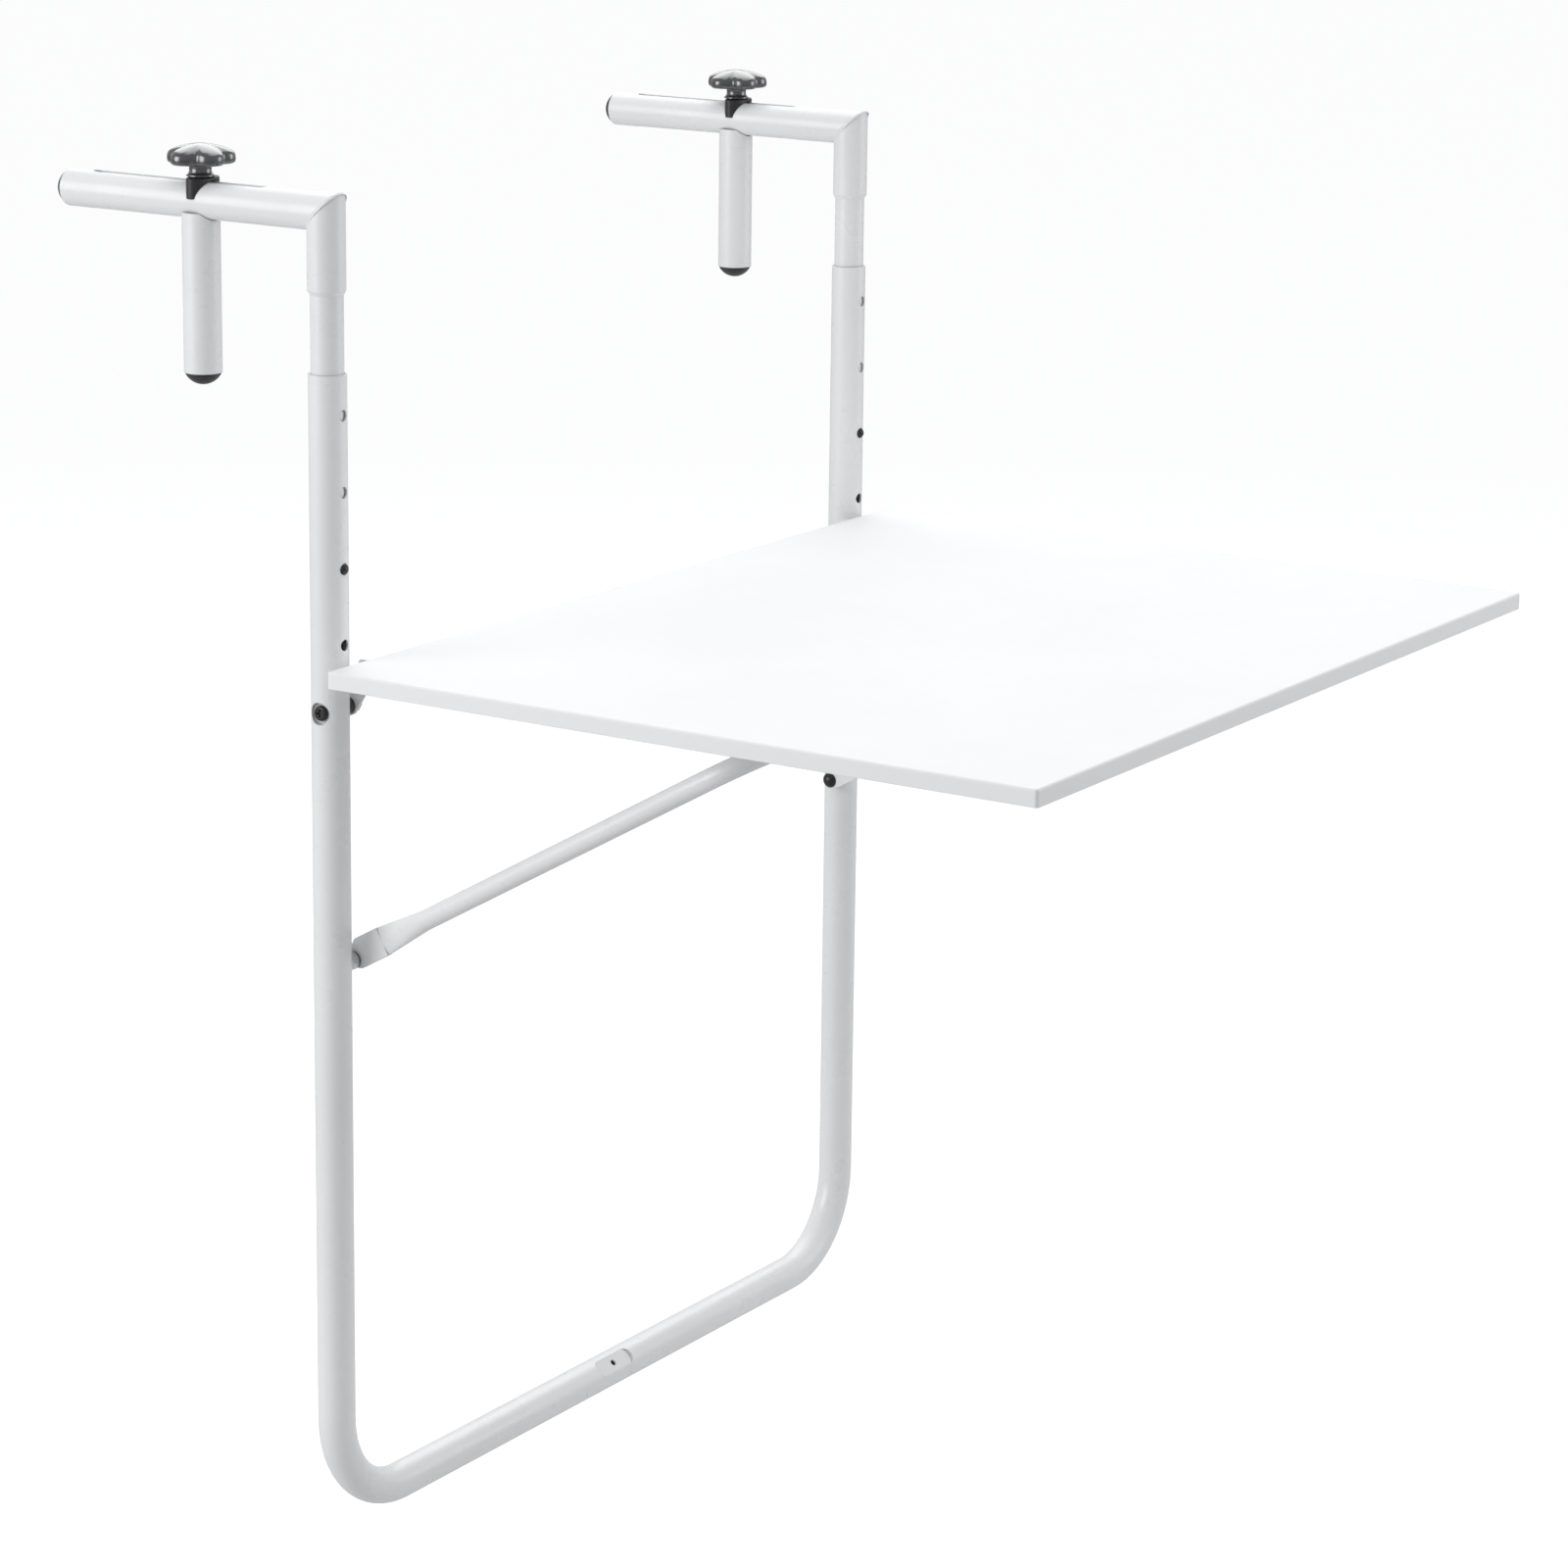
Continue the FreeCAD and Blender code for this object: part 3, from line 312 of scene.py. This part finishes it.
# Knobs: five wide lobes, a rounded shoulder, a domed top and a flared hub
def lobed_radius(angle):
    """The outline's radius at an angle from a lobe's middle: arcs of the lobes,
    joined by hollow arcs that touch them."""
    centre = KNOB_RADIUS - KNOB_LOBE_RADIUS
    half_step = math.pi / KNOB_LOBES
    swing = centre * math.cos(half_step)
    spare = KNOB_WAIST ** 2 + centre ** 2 - 2 * KNOB_WAIST * swing - KNOB_LOBE_RADIUS ** 2
    hollow_radius = spare / (2 * (swing + KNOB_LOBE_RADIUS - KNOB_WAIST))
    hollow_centre = KNOB_WAIST + hollow_radius
    turn = (angle + half_step) % (2 * half_step) - half_step
    touch = KNOB_LOBE_RADIUS / (KNOB_LOBE_RADIUS + hollow_radius)
    meet_x = centre + (hollow_centre * math.cos(half_step) - centre) * touch
    meet_y = hollow_centre * math.sin(half_step) * touch
    if abs(turn) <= math.atan2(meet_y, meet_x):
        rise = math.sqrt(KNOB_LOBE_RADIUS ** 2 - (centre * math.sin(turn)) ** 2)
        return centre * math.cos(turn) + rise
    rest = half_step - abs(turn)
    rise = math.sqrt(hollow_radius ** 2 - (hollow_centre * math.sin(rest)) ** 2)
    return hollow_centre * math.cos(rest) - rise


HUB_PROFILE = [  # (radius, height), from the stud's socket round to the head
    (STUD_RADIUS, STUD_SOCKET_TOP), (STUD_RADIUS, KNOB_BASE_Z),
    (HUB_FOOT_RADIUS - 0.3, KNOB_BASE_Z), (HUB_FOOT_RADIUS, KNOB_BASE_Z + 0.4),
    (HUB_RADIUS + 0.8, KNOB_BASE_Z + 1.3), (HUB_RADIUS, KNOB_BASE_Z + 2.6),
    (HUB_RADIUS, KNOB_HEAD_Z - 1.2), (HUB_RADIUS + 0.4, KNOB_HEAD_Z - 0.4),
    (HUB_RADIUS + 1.6, KNOB_HEAD_Z)]
HEAD_PROFILE = [  # (share of the outline, blend to a circle, height above the head's base)
    (0.80, 0.20, 0.0), (0.92, 0.06, 0.2), (0.975, 0.0, 0.8), (0.996, 0.0, 1.8),
    (1.0, 0.0, 3.4), (0.994, 0.0, 4.8), (0.975, 0.0, 5.9), (0.94, 0.0, 6.85),
    (0.89, 0.0, 7.6), (0.82, 0.03, 8.35), (0.73, 0.08, 9.1), (0.62, 0.16, 9.85),
    (0.50, 0.30, 10.55), (0.36, 0.50, 11.15), (0.20, 0.80, 11.6), (0.08, 1.0, 11.75),
    (0.02, 1.0, 11.78)]
for side, sign in SIDES.items():
    middle = Vector((sign * UPRIGHT_X, KNOB_Y, 0))
    turn = math.radians(KNOB_TURN[side])

    def knob_loop(radius_at, z):
        loop = []
        for k in range(KNOB_STEPS):
            angle = 2 * math.pi * k / KNOB_STEPS
            radius = radius_at(angle)
            loop.append(middle + Vector((radius * math.cos(angle + turn),
                                         radius * math.sin(angle + turn), z)))
        return loop

    loops = [knob_loop(lambda angle: radius, z) for radius, z in HUB_PROFILE]
    for share, circle, height in HEAD_PROFILE:
        loops.append(knob_loop(
            lambda angle: share * (lobed_radius(angle) * (1 - circle)
                                   + KNOB_CIRCLE_SHARE * KNOB_RADIUS * circle),
            KNOB_HEAD_Z + height))
    vertices, faces = rings(loops, closed_ends=True)
    knob = mesh_object(f"knob_body_{side}", vertices, faces, GLOSS_BLACK,
                       f"knob_{side}")
    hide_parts(f"clamp_knob_{side}")


# Bent strip springs behind the height buttons
for side, sign in SIDES.items():
    bend_radius = (SPRING_REAR_Y - SPRING_FRONT_Y) / 2
    bend_y = (SPRING_REAR_Y + SPRING_FRONT_Y) / 2
    path = [((-1, 0), SPRING_LOW_Z), ((-1, 0), SPRING_BEND_Z)]
    for k in range(1, SPRING_BEND_STEPS):
        angle = math.pi * k / SPRING_BEND_STEPS
        path.append(((-math.cos(angle), math.sin(angle)), SPRING_BEND_Z))
    path += [((1, 0), SPRING_BEND_Z), ((1, 0), SPRING_LOW_Z)]
    loops = []
    for (out_y, out_z), base_z in path:
        loop = []
        for x, depth in ((-1, 0), (1, 0), (1, SPRING_THICKNESS), (-1, SPRING_THICKNESS)):
            reach = bend_radius - depth
            loop.append(Vector((sign * UPRIGHT_X + x * SPRING_HALF_WIDTH,
                                bend_y + out_y * reach, base_z + out_z * reach)))
        loops.append(loop)
    vertices, faces = rings(loops, closed_ends=True)
    spring = mesh_object(f"spring_strip_{side}", vertices, faces, PLATED,
                         f"hook_{side}", smooth=False)
    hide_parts(f"button_spring_{side}")
    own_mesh(spring)


# Weld bead round the mitre of each hook, at 45 degrees to both tubes
for side, sign in SIDES.items():
    along = Vector((0, 1, 1)).normalized()
    loops = []
    for i in range(WELD_STATIONS):
        t = 2 * math.pi * i / WELD_STATIONS
        sine, cosine = math.sin(t), math.cos(t)
        centre = Vector((sign * UPRIGHT_X + TUBE_RADIUS * sine,
                         -TUBE_RADIUS + TUBE_RADIUS * cosine,
                         TUBE_RADIUS - TUBE_RADIUS * cosine))
        out = Vector((sine, 0.5 * cosine, -0.5 * cosine)).normalized()
        ripple = sum(size * math.sin(waves * t + phase) for size, waves, phase in WELD_RIPPLES)
        width = WELD_HALF_WIDTH + ripple
        height = WELD_HEIGHT + WELD_HEIGHT_RIPPLE * ripple
        loops.append([centre + along * width * math.cos(2 * math.pi * k / WELD_POINTS)
                      + out * height * math.sin(2 * math.pi * k / WELD_POINTS)
                      for k in range(WELD_POINTS)])
    vertices, faces = rings(loops, closed_length=True)
    mesh_object(f"elbow_weld_{side}", vertices, faces, WHITE,
                f"hook_{side}")


# Floor and world: white where they are seen, dimmer where they light the part
def seen_directly(tree):
    """1 for what the camera sees, also through something clear, and 0 for other light."""
    path = tree.nodes.new("ShaderNodeLightPath")
    either = tree.nodes.new("ShaderNodeMath")
    either.operation = "MAXIMUM"
    tree.links.new(path.outputs["Is Camera Ray"], either.inputs[0])
    tree.links.new(path.outputs["Is Transmission Ray"], either.inputs[1])
    return either.outputs["Value"]


def floor_material():
    nodes = Nodes("pale_floor")
    shadowed = nodes.add("ShaderNodeBsdfDiffuse")
    shadowed.inputs["Color"].default_value = (0.30, 0.30, 0.30, 1)
    glow = nodes.add("ShaderNodeEmission")
    glow.inputs["Color"].default_value = (1, 1, 1, 1)
    glow.inputs["Strength"].default_value = 0.82
    shown = nodes.add("ShaderNodeAddShader")
    nodes.link(shadowed.outputs[0], shown.inputs[0])
    nodes.link(glow.outputs[0], shown.inputs[1])
    grey = nodes.mix(nodes.noise(3.0), (0.55, 0.55, 0.55), (0.58, 0.58, 0.58))
    nodes.set(Base_Color=grey, Roughness=0.9)
    mixer = nodes.add("ShaderNodeMixShader")
    nodes.link(seen_directly(nodes.tree), mixer.inputs[0])
    nodes.link(nodes.shader.outputs["BSDF"], mixer.inputs[1])
    nodes.link(shown.outputs[0], mixer.inputs[2])
    nodes.link(mixer.outputs[0], nodes.output.inputs["Surface"])
    return nodes.material


floor_mesh = bpy.data.meshes.new("floor")
floor_corners = [(x * FLOOR_REACH, y * FLOOR_REACH, FLOOR_Z)
                 for x, y in ((-1, -1), (1, -1), (1, 1), (-1, 1))]
floor_mesh.from_pydata(floor_corners, [], [(0, 1, 2, 3)])
floor_mesh.materials.append(floor_material())
floor = bpy.data.objects.new("floor", floor_mesh)
scene.collection.objects.link(floor)

world = bpy.data.worlds.new("studio")
scene.world = world
world.use_nodes = True
tree = world.node_tree
tree.nodes.clear()
world_out = tree.nodes.new("ShaderNodeOutputWorld")
ambient = tree.nodes.new("ShaderNodeBackground")
ambient.inputs["Color"].default_value = (0.97, 0.98, 1.0, 1)
ambient.inputs["Strength"].default_value = AMBIENT_STRENGTH
backdrop = tree.nodes.new("ShaderNodeBackground")
backdrop.inputs["Color"].default_value = (1, 1, 1, 1)
backdrop.inputs["Strength"].default_value = 1.0
world_mix = tree.nodes.new("ShaderNodeMixShader")
tree.links.new(seen_directly(tree), world_mix.inputs[0])
tree.links.new(ambient.outputs[0], world_mix.inputs[1])
tree.links.new(backdrop.outputs[0], world_mix.inputs[2])
tree.links.new(world_mix.outputs[0], world_out.inputs["Surface"])

# Soft square lamps: a weak one above, two on the railing's side and one in front
for name, direction, distance, side_length, power in LAMPS:
    lamp = bpy.data.lights.new(name, "AREA")
    lamp.shape = "SQUARE"
    lamp.size = side_length
    lamp.energy = power
    away = Vector(direction).normalized()
    holder = bpy.data.objects.new(name, lamp)
    holder.location = LAMP_TARGET + away * distance
    holder.rotation_mode = "QUATERNION"
    holder.rotation_quaternion = away.to_track_quat("Z", "Y")
    scene.collection.objects.link(holder)

# Camera, as solved from the photograph's edges
azimuth, elevation, roll = (math.radians(angle) for angle in CAMERA_ANGLES)
right = Vector((math.cos(azimuth), math.sin(azimuth), 0))
back = Vector((math.sin(azimuth) * math.cos(elevation),
               -math.cos(azimuth) * math.cos(elevation), math.sin(elevation)))
up = back.cross(right)
rolled_right = math.cos(roll) * right + math.sin(roll) * up
rolled_up = -math.sin(roll) * right + math.cos(roll) * up
camera_data = bpy.data.cameras.new("camera")
camera_data.sensor_width = SENSOR_WIDTH
camera_data.lens = CAMERA_FOCAL_LENGTH * SENSOR_WIDTH / PHOTO_WIDTH
camera_data.shift_y = CAMERA_SHIFT_Y
camera_data.clip_start = 0.05
camera_data.clip_end = 200.0
camera = bpy.data.objects.new("camera", camera_data)
scene.collection.objects.link(camera)
pose = Matrix((rolled_right, rolled_up, back)).transposed().to_4x4()
pose.translation = CAMERA_PLACE * MM
camera.matrix_world = pose
scene.camera = camera

scene.view_settings.view_transform = "Standard"
